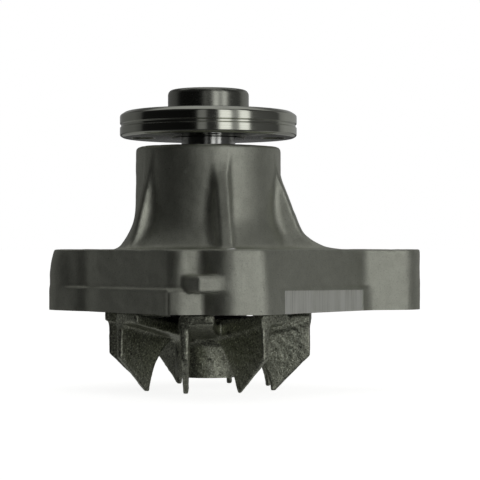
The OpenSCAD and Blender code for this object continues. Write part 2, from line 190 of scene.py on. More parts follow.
def grid_axes(low, high, step):
    """Three axes of sample points that broadcast to a grid over the box."""
    x, y, z = (np.arange(low[i], high[i] + step, step, dtype=np.float32) for i in range(3))
    return x[:, None, None], y[None, :, None], z[None, None, :]


def outline_distance(points, x, y):
    """Signed distance in the plane from a closed outline, negative inside it."""
    nearest = np.full(np.broadcast(x, y).shape, 1e9, np.float32)
    inside = np.zeros(nearest.shape, bool)
    for p, q in zip(points, list(points[1:]) + [points[0]]):
        ex, ey = q[0] - p[0], q[1] - p[1]
        wx, wy = x - p[0], y - p[1]
        t = np.clip((wx * ex + wy * ey) / (ex * ex + ey * ey), 0, 1)
        nearest = np.minimum(nearest, (wx - ex * t) ** 2 + (wy - ey * t) ** 2)
        if ey:
            spans = (p[1] <= y) != (q[1] <= y)
            inside ^= spans & (wx < wy * ex / ey)
    return np.where(inside, -1, 1) * np.sqrt(nearest)


def cast_noise(shape, step, size, seed):
    """A smooth random field of unit strength whose bumps are about size mm across."""
    field = np.random.default_rng(seed).standard_normal(shape)
    f = [np.fft.fftfreq(shape[0], step), np.fft.fftfreq(shape[1], step), np.fft.rfftfreq(shape[2], step)]
    square = f[0][:, None, None] ** 2 + f[1][None, :, None] ** 2 + f[2][None, None, :] ** 2
    field = np.fft.irfftn(np.fft.rfftn(field) * np.exp(-square * (math.pi * size) ** 2 / 2), shape)
    return (field / field.std()).astype(np.float32)


def new_piece(name, points, faces):
    """A mesh object from points in millimetres."""
    mesh = bpy.data.meshes.new(name)
    mesh.from_pydata((np.asarray(points, float) * MM).tolist(), [], faces)
    mesh.validate()
    piece = bpy.data.objects.new(name, mesh)
    bpy.context.scene.collection.objects.link(piece)
    return piece


def face_outwards(piece):
    """Turns the faces of a closed mesh outwards."""
    bm = bmesh.new()
    bm.from_mesh(piece.data)
    if bm.calc_volume(signed=True) < 0:
        bmesh.ops.reverse_faces(bm, faces=bm.faces)
    bm.to_mesh(piece.data)
    bm.free()
    return piece


def polygonise(name, field, low, step):
    """The surface where a field of signed distances is zero."""
    grid = openvdb.FloatGrid(3.0)
    grid.copyFromArray(np.ascontiguousarray(np.clip(field, -3, 3), dtype=np.float32))
    points, quads = grid.convertToQuads(isovalue=0.0)
    points = np.asarray(points) * step + np.array(low)
    return face_outwards(new_piece(name, points, np.asarray(quads).tolist()))


def lathe(name, profile, segments):
    """Turns a closed profile of (radius, height) points about the Z axis. Its faces are machined."""
    points, rings = [], []
    for r, z in profile:
        if r < 1e-6:
            rings.append([len(points)] * segments)
            points.append((0, 0, z))
            continue
        rings.append(list(range(len(points), len(points) + segments)))
        for i in range(segments):
            a = 2 * math.pi * i / segments
            points.append((r * math.cos(a), r * math.sin(a), z))
    faces = []
    for a, b in zip(rings, rings[1:] + rings[:1]):
        for i in range(segments):
            j = (i + 1) % segments
            corners = list(dict.fromkeys((a[i], a[j], b[j], b[i])))
            if len(corners) > 2:
                faces.append(corners)
    piece = face_outwards(new_piece(name, points, faces))
    piece.data.polygons.foreach_set("material_index", [MACHINED] * len(piece.data.polygons))
    return piece


def rounded(corners, steps=5):
    """Profile points from (radius, height, edge radius) corners, each corner turned into an arc."""
    out = []
    for i, (r, z, size) in enumerate(corners):
        here = np.array([r, z], float)
        if not size:
            out.append((r, z))
            continue
        back = np.array(corners[i - 1][:2], float) - here
        ahead = np.array(corners[(i + 1) % len(corners)][:2], float) - here
        back /= np.linalg.norm(back)
        ahead /= np.linalg.norm(ahead)
        for k in range(steps + 1):
            t = k / steps
            p = here + back * size * (1 - t) ** 2 + ahead * size * t ** 2
            out.append((float(p[0]), float(p[1])))
    return out


def block(name, low, high, index=MACHINED):
    """A box-shaped cutter."""
    points = [(x, y, z) for x in (low[0], high[0]) for y in (low[1], high[1]) for z in (low[2], high[2])]
    faces = [(0, 1, 3, 2), (4, 6, 7, 5), (0, 4, 5, 1), (2, 3, 7, 6), (0, 2, 6, 4), (1, 5, 7, 3)]
    piece = face_outwards(new_piece(name, points, faces))
    piece.data.polygons.foreach_set("material_index", [index] * 6)
    return piece


def place(cutter, matrix):
    """Moves a cutter by a matrix whose shift is in millimetres."""
    matrix = matrix.copy()
    matrix.translation *= MM
    cutter.data.transform(matrix)
    return cutter


def at(x, y, z=0.0):
    return Matrix.Translation((x, y, z))


def turn(degrees):
    return Matrix.Rotation(math.radians(degrees), 4, "Z")


def carve(piece, cutters, materials):
    """Cuts the cutters out of piece. Faces that a cutter leaves take the cutter's material index."""
    for solid in [piece] + cutters:
        for m in materials:
            solid.data.materials.append(m)
    for cutter in cutters:
        cut = piece.modifiers.new("cut", "BOOLEAN")
        cut.operation = "DIFFERENCE"
        cut.solver = "MANIFOLD"
        cut.object = cutter
    bpy.context.view_layer.update()
    solid = piece.evaluated_get(bpy.context.evaluated_depsgraph_get())
    mesh = bpy.data.meshes.new_from_object(solid)
    piece.modifiers.clear()
    piece.data = mesh
    mesh.name = piece.name
    for cutter in cutters:
        bpy.data.objects.remove(cutter)
    return piece


def shade(piece, limit=28):
    """Smooth shading, with a crisp edge where the surface turns by more than limit degrees.
    An edge between two cast faces stays soft."""
    bm = bmesh.new()
    bm.from_mesh(piece.data)
    for e in bm.edges:
        if len(e.link_faces) == 2:
            a, b = e.link_faces
            both_cast = a.material_index == CAST and b.material_index == CAST
            e.smooth = both_cast or e.calc_face_angle(0) < math.radians(limit)
    for f in bm.faces:
        f.smooth = True
    bm.to_mesh(piece.data)
    bm.free()
    return piece


def finish_piece(piece, body, node):
    """Attaches the piece to the body it rides on, and hides the CAD node that it stands for."""
    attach(piece, body)
    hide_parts(node)


# ---------------------------------------------------------------- materials

class Net:
    """Builds one node material."""

    def __init__(self, name):
        self.material = bpy.data.materials.new(name)
        self.material.use_nodes = True
        self.tree = self.material.node_tree
        self.shader = self.tree.nodes["Principled BSDF"]
        self.coords = self.add("ShaderNodeTexCoord").outputs["Object"]

    def add(self, kind, inputs=None, **settings):
        """A node of this kind with its settings and inputs."""
        node = self.tree.nodes.new(kind)
        for key, value in settings.items():
            setattr(node, key, value)
        for key, value in (inputs or {}).items():
            self.feed(node.inputs[key], value)
        return node

    def feed(self, socket, value):
        """Links another node's output to a socket, or sets the socket's value."""
        if isinstance(value, bpy.types.NodeSocket):
            self.tree.links.new(value, socket)
        else:
            socket.default_value = value

    def stretched(self, scale):
        """Object coordinates scaled along X, Y and Z."""
        return self.add("ShaderNodeMapping", {"Vector": self.coords, "Scale": scale}).outputs["Vector"]

    def noise(self, scale, detail=4.0, roughness=0.55, vector=None):
        return self.add("ShaderNodeTexNoise", {"Vector": vector or self.coords, "Scale": scale,
                                               "Detail": detail, "Roughness": roughness}).outputs["Fac"]

    def spread(self, fac, low, high, to_low=0.0, to_high=1.0):
        """Maps low..high to to_low..to_high and holds the ends."""
        return self.add("ShaderNodeMapRange", {"Value": fac, "From Min": low, "From Max": high,
                                               "To Min": to_low, "To Max": to_high}).outputs["Result"]

    def math(self, operation, a, b=0.0):
        return self.add("ShaderNodeMath", {0: a, 1: b}, operation=operation).outputs[0]

    def mix(self, fac, a, b):
        node = self.add("ShaderNodeMix", data_type="RGBA")
        self.feed(node.inputs[0], fac)
        self.feed(node.inputs[6], a)
        self.feed(node.inputs[7], b)
        return node.outputs[2]

    def bump(self, height, depth, normal=None):
        """Bumps of about depth millimetres."""
        node = self.add("ShaderNodeBump", {"Height": height, "Distance": depth * MM, "Strength": 1.0})
        if normal:
            self.feed(node.inputs["Normal"], normal)
        return node.outputs["Normal"]

    def edges(self):
        """1 on convex edges, where a part rubs bright, and 0 on flat faces."""
        return self.spread(self.add("ShaderNodeNewGeometry").outputs["Pointiness"], 0.52, 0.60)

    def radial(self):
        """Distance from the shaft axis."""
        flat = self.add("ShaderNodeVectorMath", {0: self.coords, 1: (1, 1, 0)}, operation="MULTIPLY")
        return self.add("ShaderNodeVectorMath", {0: flat.outputs[0]}, operation="LENGTH").outputs["Value"]

    def along(self, distance):
        """A texture vector that varies only with distance."""
        return self.add("ShaderNodeCombineXYZ", {"X": distance}).outputs[0]

    def finish(self, colour, rough, normal, metal=1.0):
        """Feeds the shader and gives the material."""
        self.feed(self.shader.inputs["Base Color"], colour)
        self.feed(self.shader.inputs["Roughness"], rough)
        self.feed(self.shader.inputs["Normal"], normal)
        self.shader.inputs["Metallic"].default_value = metal
        return self.material


def grey(value, warm=0.0):
    """A grey that turns slightly yellow as warm grows."""
    return (value, value * (1 + 0.2 * warm), value * (1 - warm), 1)


def cast_aluminium():
    """Sand-cast aluminium: a matt silver skin with fine grain, soft stains and rubbed edges."""
    n = Net("cast_aluminium")
    grain = n.noise(2100, 4, 0.65)
    pits = n.noise(1300, 2, 0.5)
    stain = n.noise(60, 6, 0.62)
    mottle = n.noise(300, 4, 0.6)
    skin = n.mix(n.spread(stain, 0.36, 0.66), grey(0.55, 0.12), grey(0.65, 0.11))
    skin = n.mix(n.spread(mottle, 0.40, 0.68, 0, 0.30), skin, grey(0.45, 0.13))
    skin = n.mix(n.spread(grain, 0.50, 0.72, 0, 0.45), skin, grey(0.34, 0.13))
    skin = n.mix(n.spread(pits, 0.70, 0.76, 0, 0.5), skin, grey(0.18, 0.14))
    skin = n.mix(n.math("MULTIPLY", n.edges(), 0.45), skin, grey(0.80, 0.08))
    rough = n.spread(n.math("ADD", n.math("MULTIPLY", grain, 0.5), n.math("MULTIPLY", stain, 0.5)),
                     0.35, 0.65, 0.45, 0.56)
    normal = n.bump(n.noise(120, 3, 0.5), 0.10)
    normal = n.bump(mottle, 0.05, normal)
    normal = n.bump(grain, 0.055, normal)
    return n.finish(skin, rough, normal)


def machined_aluminium():
    """Faced and bored aluminium: bright, with fine rings about the shaft axis."""
    n = Net("machined_aluminium")
    wave = {
        "Vector": n.along(n.radial()), "Scale": 260.0, "Distortion": 0.6, "Detail": 2.0, "Detail Scale": 3.0,
    }
    rings = n.add("ShaderNodeTexWave", wave, wave_type="BANDS").outputs["Fac"]
    lines = n.noise(1.0, 3, 0.6, n.stretched((60, 60, 2600)))
    patch = n.noise(70, 4, 0.6)
    colour = n.mix(n.spread(patch, 0.35, 0.7), grey(0.60, 0.03), grey(0.70, 0.02))
    colour = n.mix(n.spread(lines, 0.55, 0.75, 0, 0.3), colour, grey(0.46, 0.03))
    normal = n.bump(rings, 0.012)
    normal = n.bump(lines, 0.010, normal)
    return n.finish(colour, n.spread(patch, 0.3, 0.7, 0.24, 0.36), normal)


def milled_aluminium():
    """A side-milled pad: fine cutter marks that run up the wall."""
    n = Net("milled_aluminium")
    marks = n.noise(1.0, 4, 0.7, n.stretched((2300, 2300, 40)))
    broad = n.noise(1.0, 2, 0.5, n.stretched((210, 210, 12)))
    colour = n.mix(n.spread(broad, 0.3, 0.7), grey(0.84, 0.08), grey(0.97, 0.06))
    colour = n.mix(n.spread(marks, 0.52, 0.72, 0, 0.7), colour, grey(0.50, 0.1))
    normal = n.bump(marks, 0.07)
    normal = n.bump(broad, 0.06, normal)
    return n.finish(colour, n.spread(marks, 0.3, 0.7, 0.46, 0.56), normal, metal=0.15)


def turned_steel():
    """Turned steel: a bright grey with tool lines round it and a few handling marks, with painted shade
    darkening the pilot boss above the disc.
    """
    n = Net("turned_steel")
    lines = n.noise(1.0, 4, 0.7, n.stretched((14, 14, 3400)))
    faces = n.noise(1.0, 3, 0.6, n.along(n.math("MULTIPLY", n.radial(), 2600)))
    marks = n.noise(230, 5, 0.7)
    colour = n.mix(n.spread(lines, 0.35, 0.7), grey(0.56, 0.10), grey(0.48, 0.11))
    colour = n.mix(n.spread(marks, 0.68, 0.76, 0, 0.6), colour, grey(0.22, 0.12))
    height = n.add("ShaderNodeSeparateXYZ", {0: n.coords}).outputs["Z"]
    # Painted shade: the pilot boss above the disc top is darkened towards a dark grey and made rougher
    boss = n.spread(height, (DISC_TOP + 0.1) * MM, (DISC_TOP + 0.5) * MM)
    colour = n.mix(n.math("MULTIPLY", boss, 0.55), colour, grey(0.16, 0.1))
    rough = n.spread(n.math("ADD", n.math("MULTIPLY", lines, 0.5), n.math("MULTIPLY", marks, 0.5)),
                     0.35, 0.65, 0.09, 0.16)
    rough = n.math("ADD", rough, n.math("MULTIPLY", boss, 0.13))
    normal = n.bump(lines, 0.003)
    normal = n.bump(faces, 0.003, normal)
    normal = n.bump(n.noise(45, 2, 0.5), 0.012, normal)
    return n.finish(colour, rough, normal)


def cast_iron():
    """Rough dark cast iron with sandy grit and bare grey peaks."""
    n = Net("cast_iron")
    grit = n.noise(1700, 4, 0.7)
    lumps = n.noise(330, 4, 0.6)
    stain = n.noise(70, 4, 0.6)
    colour = n.mix(n.spread(stain, 0.35, 0.65), grey(0.33, 0.18), grey(0.46, 0.16))
    colour = n.mix(n.spread(grit, 0.54, 0.67, 0, 0.9), colour, grey(0.98, 0.15))
    colour = n.mix(n.spread(grit, 0.47, 0.37, 0, 0.75), colour, grey(0.08, 0.18))
    colour = n.mix(n.spread(lumps, 0.62, 0.70, 0, 0.8), colour, grey(0.07, 0.18))
    colour = n.mix(n.math("MULTIPLY", n.edges(), 0.3), colour, grey(0.55, 0.14))
    rough = n.spread(grit, 0.35, 0.65, 0.28, 0.42)
    rough = n.math("ADD", rough, n.math("MULTIPLY", n.edges(), 0.35))
    normal = n.bump(lumps, 0.10)
    normal = n.bump(grit, 0.13, normal)
    return n.finish(colour, rough, normal, metal=1.0)


def plain_metal(name, light, dark, rough, line_scale, depth):
    """Ground or pressed steel. line_scale stretches its marks along X, Y and Z."""
    n = Net(name)
    lines = n.noise(1.0, 4, 0.6, n.stretched(line_scale))
    patch = n.noise(160, 4, 0.65)
    colour = n.mix(n.spread(patch, 0.35, 0.68), grey(light, 0.02), grey(dark, 0.04))
    colour = n.mix(n.spread(lines, 0.6, 0.8, 0, 0.35), colour, grey(dark * 0.6, 0.04))
    normal = n.bump(lines, depth)
    return n.finish(colour, n.spread(patch, 0.3, 0.7, rough, rough + 0.12), normal)


def matt_solid(name, light, dark, rough, grain_scale, depth):
    """A rubber, carbon, ceramic or plastic. light and dark are its colours."""
    n = Net(name)
    grain = n.noise(grain_scale, 5, 0.6)
    patch = n.noise(120, 4, 0.6)
    colour = n.mix(n.spread(patch, 0.35, 0.68), (*light, 1), (*dark, 1))
    colour = n.mix(n.spread(grain, 0.58, 0.75, 0, 0.5), colour, (*dark, 1))
    normal = n.bump(grain, depth)
    return n.finish(colour, n.spread(grain, 0.3, 0.7, rough, rough + 0.15), normal, metal=0.0)


def make_materials():
    """All finishes by name."""
    metals = {
        "bearing_steel": (0.50, 0.42, 0.12, (20, 20, 2600), 0.004),
        "ball_steel": (0.74, 0.66, 0.06, (700, 700, 700), 0.002),
        "pressed_steel": (0.60, 0.46, 0.22, (240, 240, 900), 0.02),
        "spring_steel": (0.50, 0.36, 0.20, (900, 900, 900), 0.02),
    }
    solids = {
        "black_rubber": ((0.032, 0.032, 0.034), (0.016, 0.016, 0.017), 0.5, 900, 0.05),
        "carbon": ((0.055, 0.055, 0.06), (0.028, 0.028, 0.03), 0.32, 1800, 0.02),
        "ceramic": ((0.80, 0.77, 0.69), (0.68, 0.64, 0.55), 0.22, 1500, 0.006),
        "cage_nylon": ((0.62, 0.54, 0.37), (0.50, 0.42, 0.27), 0.42, 1000, 0.03),
    }
    paint = {
        "cast_aluminium": cast_aluminium(),
        "machined_aluminium": machined_aluminium(),
        "milled_aluminium": milled_aluminium(),
        "turned_steel": turned_steel(),
        "cast_iron": cast_iron(),
    }
    paint.update({name: plain_metal(name, *look) for name, look in metals.items()})
    paint.update({name: matt_solid(name, *look) for name, look in solids.items()})
    return paint


# ---------------------------------------------------------------- housing

def corner_arc(a, b, c, radius, step=3):
    """Points of the arc that rounds the corner b between a and c."""
    u = (a - b) / np.linalg.norm(a - b)
    w = (c - b) / np.linalg.norm(c - b)
    half = math.acos(float(u @ w)) / 2
    centre = b + (u + w) / np.linalg.norm(u + w) * radius / math.sin(half)
    first = b + u * radius / math.tan(half) - centre
    last = b + w * radius / math.tan(half) - centre
    start = math.atan2(first[1], first[0])
    sweep = (math.atan2(last[1], last[0]) - start + math.pi) % (2 * math.pi) - math.pi
    steps = math.ceil(abs(math.degrees(sweep)) / step)
    return [tuple(centre + radius * np.array([math.cos(start + sweep * i / steps),
                                              math.sin(start + sweep * i / steps)]))
            for i in range(steps + 1)]


def flange_outline(inset):
    """Outline of the flange with its walls moved in by their share of inset."""
    corners = []
    for p, q in zip(FLANGE_WALLS, FLANGE_WALLS[1:] + FLANGE_WALLS[:1]):
        n1, n2 = facing(p[0]), facing(q[0])
        d1, d2 = p[1] - inset * p[2], q[1] - inset * q[2]
        across = n1[0] * n2[1] - n1[1] * n2[0]
        corners.append(np.array([d1 * n2[1] - d2 * n1[1], d2 * n1[0] - d1 * n2[0]]) / across)
    outline = []
    for i, wall in enumerate(FLANGE_WALLS):
        outline += corner_arc(corners[i - 1], corners[i], corners[(i + 1) % len(corners)], wall[3])
    return outline


def nose_field(r, z):
    """The nose: an upright barrel that flares into the flange."""
    t = np.clip((FLARE_FROM - z) / (FLARE_FROM - FLANGE_TOP), 0, 1)
    radius = NOSE_R + FLARE * t ** FLARE_POWER
    slope = FLARE * FLARE_POWER * t ** (FLARE_POWER - 1) / (FLARE_FROM - FLANGE_TOP)
    wall = (r - radius) / np.sqrt(1 + slope ** 2)
    return smooth_max(wall, z - nose_top(), 1.5)


def nose_top():
    """Height of the machined end of the nose."""
    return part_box("pump_housing")[1].z / MM


def rib_field(x, y, z, angle, slope, toe, width, twist, *drafts):
    """A rib: its crest leans out down the nose and runs out along the flange."""
    fx, fy = facing(angle)
    along = x * fx + y * fy
    across = x * fy - y * fx
    drop = RIB_TOE_FROM - FLANGE_TOP
    t = np.clip((RIB_TOE_FROM - z) / drop, 0, 1)
    crest = NOSE_R + slope * (RIB_TOP - z) + toe * t ** RIB_TOE_POWER
    lean = slope + toe * RIB_TOE_POWER * t ** (RIB_TOE_POWER - 1) / drop
    shape = (along + twist * across - crest) / np.sqrt(1 + lean ** 2 + twist ** 2)
    for side, draft in zip((1, -1), drafts):
        flank = side * across - width / 2 - draft * (crest - along)
        shape = smooth_max(shape, flank / np.sqrt(1 + draft ** 2 * (1 + lean ** 2)), RIB_EDGE)
    return np.maximum(shape, 5 - along)


def flange_field(x, y, z, plate, upper):
    """The thick flange. plate and upper are distances from its outline below and above the ledge."""
    rise = np.clip(z / FLANGE_TOP, 0, 1)
    ledge = 0.88 * ease(PLATE_TOP, LEDGE_TOP, z) + 0.12 * rise
    boss = ease(*BOSS_LEFT, x) * ease(*BOSS_RIGHT, x) * (y < BOSS_BACK_Y)
    ledge = ledge + (rise - ledge) * boss
    above = np.clip((z - EAR_DRAFT_FROM) / (FLANGE_TOP - EAR_DRAFT_FROM), 0, 1)
    ear = 0.12 * ease(PLATE_TOP, PLATE_TOP + 1, z) + 0.88 * above ** 1.5
    walls = plate + (upper - plate) * (ledge + (ear - ledge) * ease(*EAR_FADE, x))
    walls = walls + GROOVE * np.exp(-((x - GROOVE_X) / GROOVE_HALF) ** 2) * (y < 0)
    return smooth_max(walls, z - FLANGE_TOP, FLANGE_EDGE)


def pad_field(x, y, z):
    """The square pad on the front, and the round lobe of the lower plate under it."""
    pad = outline_distance(PAD_OUTLINE, x[..., 0], y[..., 0])[..., None]
    pad = smooth_max(smooth_max(pad, z - PAD_SPAN[1], PAD_TOP_EDGE), PAD_SPAN[0] - z, PAD_EDGE)
    lobe = np.sqrt((x - LOBE_CENTRE[0]) ** 2 + (y - LOBE_CENTRE[1]) ** 2) - LOBE_R
    lobe = smooth_max(lobe, LOBE_LEFT - x, LOBE_EDGE)
    lobe = np.maximum(lobe, np.maximum(x - LOBE_RIGHT, y - LOBE_BACK_Y))
    return np.minimum(pad, smooth_max(lobe, z - LOBE_TOP, PAD_EDGE))


def housing_field(x, y, z, step):
    """Signed distance from the casting, before anything is machined."""
    plate = outline_distance(flange_outline(0), x[..., 0], y[..., 0])[..., None]
    upper = outline_distance(flange_outline(PLATE_STEP), x[..., 0], y[..., 0])[..., None]
    nose = nose_field(np.sqrt(x ** 2 + y ** 2), z)
    for rib_shape in RIBS:
        rib = smooth_max(rib_field(x, y, z, *rib_shape), upper + 0.6, 1.0)
        nose = smooth_min(nose, rib, RIB_FILLET)
    body = smooth_min(flange_field(x, y, z, plate, upper), nose, NOSE_FILLET)
    body = smooth_min(body, pad_field(x, y, z), PAD_FILLET)
    for depth, size, seed in HOUSING_SKIN:
        body = body + depth * cast_noise(body.shape, step, size, seed)
    return body


def bolt_cutter(x, y):
    """A bolt hole with its spotface, chamfered at both ends."""
    profile = [
        (0, -3), (BOLT_R + 0.5, -3), (BOLT_R + 0.5, 0), (BOLT_R, 0.5),
        (BOLT_R, SPOTFACE_Z - 0.4), (BOLT_R + 0.4, SPOTFACE_Z),
        (SPOTFACE_R, SPOTFACE_Z), (SPOTFACE_R, SPOTFACE_Z + 6), (0, SPOTFACE_Z + 6),
    ]
    return place(lathe("cut_bolt", profile, 96), at(x, y))


def bore_cutter():
    """Everything that is bored about the shaft axis: chamber, seal seat, cavity and bearing bore."""
    ring_low, ring_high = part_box("bearing_outer_ring")
    ring_r = ring_high.x / MM
    ring_z = ring_low.z / MM
    top = nose_top()
    seat_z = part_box("seal_cup")[0].z / MM + 0.9
    return lathe("cut_bores", [
        (0, -4), (CHAMBER_R + 0.4, -4), (CHAMBER_R + 0.4, 0), (CHAMBER_R, 0.4), (CHAMBER_R, 1.6),
        (CHAMBER_R - 0.8, 2.4), (CUP_R + 2.4, seat_z), (CUP_R, seat_z), (CUP_R, CUP_TOP),
        (CAVITY_R, CUP_TOP), (CAVITY_R, ring_z), (ring_r, ring_z), (ring_r, top - 0.7),
        (ring_r + 0.9, top + 0.2), (ring_r + 0.9, top + 5), (0, top + 5),
    ], 256)


def weep_cutter():
    """The weep hole, drilled upwards and outwards from the cavity behind the seal."""
    drill = lathe("cut_weep", [(0, 0), (WEEP_R, 0), (WEEP_R, 40), (0, 40)], 64)
    tilt = Matrix.Rotation(math.radians(90 - WEEP_RISE), 4, "Y")
    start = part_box("bearing_outer_ring")[0].z / MM - 1.8
    return place(drill, turn(WEEP_ANGLE - 90) @ at(CUP_R - 6, 0, start) @ tilt)


def strip_cutter():
    """The milled strip along the foot of the front right wall."""
    angle, wall = FLANGE_WALLS[RIGHT_WALL][:2]
    low = (STRIP_ENDS[0], -wall - 6, -2)
    high = (STRIP_ENDS[1], -wall + STRIP_DEPTH, STRIP_TOP)
    tilt = Matrix.Rotation(math.radians(STRIP_TILT), 4, "Y")
    return place(block("cut_strip", low, high, MILLED), turn(angle) @ tilt)


def make_housing(paint):
    """The cast housing with its machined faces, kept inside the CAD node's box."""
    step = 0.5
    low, high = (np.array(c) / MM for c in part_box("pump_housing"))
    start = np.array([low[0] - 2, low[1] - 2, -2.5])
    x, y, z = grid_axes(start, high + 2, step)
    housing = polygonise("housing_casting", housing_field(x, y, z, step), start, step)
    points = np.array([v.co for v in housing.data.vertices])
    for axis in (0, 1):
        points[:, axis] = np.clip(points[:, axis], (low[axis] + 0.01) * MM, (high[axis] - 0.01) * MM)
    points[:, 2] = np.minimum(points[:, 2], (high[2] + 0.3) * MM)
    housing.data.vertices.foreach_set("co", points.ravel())
    cutters = [block("cut_gasket_face", (-120, -120, -12), (120, 120, 0)),
               block("cut_nose_face", (-60, -60, high[2]), (60, 60, high[2] + 9)),
               strip_cutter(), bore_cutter(), weep_cutter()]
    cutters += [bolt_cutter(bx, by) for bx, by in BOLT_CENTRES]
    carve(housing, cutters, [paint[m] for m in ("cast_aluminium", "machined_aluminium", "milled_aluminium")])
    finish_piece(shade(housing), "housing", "pump_housing")


# ---------------------------------------------------------------- impeller

def bend(p, b, q, t):
    """A point of the curve with end points p and q that bends towards b."""
    return (1 - t) ** 2 * np.array(p) + 2 * t * (1 - t) * np.array(b) + t * t * np.array(q)


def scallop_outline(index):
    """The gap cut in the back plate between one vane's sector and the next vane."""
    turned = index * 360 / VANES
    ahead = facing(turned + 360 / VANES)
    across = np.array([ahead[1], -ahead[0]])
    face = VANE_OFFSET + SCALLOP_GAP
    inner = math.sqrt(WEB_FOOT_R ** 2 - face ** 2) * ahead + face * across
    start = facing(turned + SCALLOP_START[1])
    middle = SCALLOP_BEND[0] * facing(turned + SCALLOP_BEND[1])
    curve = [tuple(bend(SCALLOP_START[0] * start, middle, inner, t)) for t in np.linspace(0, 1, 13)]
    return [tuple((IMPELLER_R + 4) * start)] + curve + [tuple((IMPELLER_R + 4) * ahead + face * across)]


def web_field(x, y, z):
    """The dished back plate with its scallops."""
    r = np.sqrt(x ** 2 + y ** 2)
    top = WEB_UPPER[0] + WEB_UPPER[1] * (r - WEB_FOOT_R) - z
    foot = z - (WEB_LOWER[0] + WEB_LOWER[1] * (r - WEB_FOOT_R))
    plate = -smooth_min(top, foot, 0.8) * 0.97
    edge = r[..., 0] - IMPELLER_R
    for i in range(VANES):
        edge = smooth_max(edge, -outline_distance(scallop_outline(i), x[..., 0], y[..., 0]), 1.2)
    return smooth_max(plate, edge[..., None], 1.0)


def vane_field(x, y, z, index, wander):
    """A straight vane with a curved inner edge, thicker where it meets the back plate."""
    fx, fy = facing(index * 360 / VANES)
    along = x * fx + y * fy
    across = np.abs(-x * fy + y * fx + VANE_OFFSET)
    half = VANE_HALF + VANE_GAIN * np.clip((z - VANE_GAIN_FROM) / VANE_GAIN_OVER, 0, 1) ** 1.5
    run = np.array(VANE_TIP) + (0.9, 0) - (VANE_EDGE_S, VANE_EDGE_Z)
    run = run / np.linalg.norm(run)
    slant = (along - VANE_EDGE_S) * -run[1] + (z - VANE_EDGE_Z) * run[0]
    inner = np.array([bend(VANE_TIP, VANE_BEND, VANE_ROOT, t) for t in np.linspace(0, 1, 41)])
    heights = np.clip(z.ravel(), VANE_TIP[1], VANE_ROOT[1])
    edge = np.interp(heights, inner[:, 1], inner[:, 0])
    lean = np.gradient(edge, z.ravel())
    inward = ((edge[None, None, :] - along) / np.sqrt(1 + lean[None, None, :] ** 2)).astype(np.float32)
    shape = smooth_max(along - VANE_EDGE_S, slant, VANE_OUTER_EDGE)
    shape = smooth_max(shape, inward, VANE_INNER_EDGE)
    shape = smooth_max(shape, VANE_TIP[1] + 0.08 - z, VANE_OUTER_EDGE)
    shape = smooth_max(shape, across - half, VANE_FLANK)
    return np.maximum(shape, z - VANE_TOP) + wander


def impeller_field(x, y, z, step):
    """Signed distance from the rough casting of the impeller."""
    r = np.sqrt(x ** 2 + y ** 2)
    shape = np.broadcast(x, y, z).shape
    wander = VANE_WANDER[0] * cast_noise(shape, step, *VANE_WANDER[1:])
    hub_r = IMPELLER_HUB_R + IMPELLER_HUB_TAPER * (z - IMPELLER_HUB_Z)
    hub = smooth_max(r - hub_r, z - IMPELLER_HUB_TOP, 0.8)
    body = smooth_min(web_field(x, y, z), hub, HUB_FILLET)
    vanes = vane_field(x, y, z, 0, wander)
    for i in range(1, VANES):
        vanes = np.minimum(vanes, vane_field(x, y, z, i, wander))
    body = smooth_min(body, vanes, VANE_FILLET)
    grit = sum(depth * cast_noise(shape, step, size, seed) for depth, size, seed in IMPELLER_GRIT)
    return body + wander * 0.6 + grit


def make_impeller(paint):
    """The rough impeller with its bore, its faced hub and the seat of the mating ring's boot."""
    step = 0.42
    low, high = (np.array(c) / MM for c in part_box("impeller"))
    x, y, z = grid_axes(low - 1.5, high + 1.5, step)
    impeller = polygonise("impeller_casting", impeller_field(x, y, z, step), low - 1.5, step)
    points = np.array([v.co for v in impeller.data.vertices])
    reach = np.hypot(points[:, 0], points[:, 1])
    shrink = np.minimum(1, (IMPELLER_R - 0.02) * MM / np.maximum(reach, 1e-9))
    points[:, :2] *= shrink[:, None]
    points[:, 2] = np.clip(points[:, 2], (low[2] + 0.02) * MM, (high[2] - 0.02) * MM)
    impeller.data.vertices.foreach_set("co", points.ravel())
    bore_r, chamfer = IMPELLER_BORE_R, 0.7
    bore = lathe("cut_bore", [
        (0, -40), (bore_r + chamfer, -40),
        (bore_r + chamfer, IMPELLER_HUB_Z), (bore_r, IMPELLER_HUB_Z + chamfer),
        (bore_r, BOOT_SEAT_Z), (BOOT_SEAT_R, BOOT_SEAT_Z), (BOOT_SEAT_R, 5), (0, 5),
    ], 160)
    facing_r = IMPELLER_HUB_R + 1.1
    facing_cut = lathe("cut_hub_face", [
        (0, -40), (facing_r, -40), (facing_r, IMPELLER_HUB_Z), (0, IMPELLER_HUB_Z),
    ], 96)
    carve(impeller, [facing_cut, bore], [paint["cast_iron"], paint["turned_steel"]])
    finish_piece(shade(impeller), "rotor", "impeller")


# ---------------------------------------------------------------- turned and wound parts

def tapped_hole(x, y, low, high):
    """A cutter for a tapped hole, with thread ridges and a countersink at each end."""
    minor, major, pitch = 3.4, 3.85, 1.25
    profile = [(0, low - 2), (major + 0.5, low - 2), (major + 0.5, low), (minor, low + 1.0)]
    z = low + 1.0
    while z + pitch < high - 1.0:
        profile += [(minor, z + 0.15), (major, z + 0.55), (major, z + 0.7), (minor, z + 1.1)]
        z += pitch
    profile += [(minor, high - 1.0), (major + 0.5, high), (major + 0.5, high + 2), (0, high + 2)]
    return place(lathe("cut_tapped", profile, 64), at(x, y))


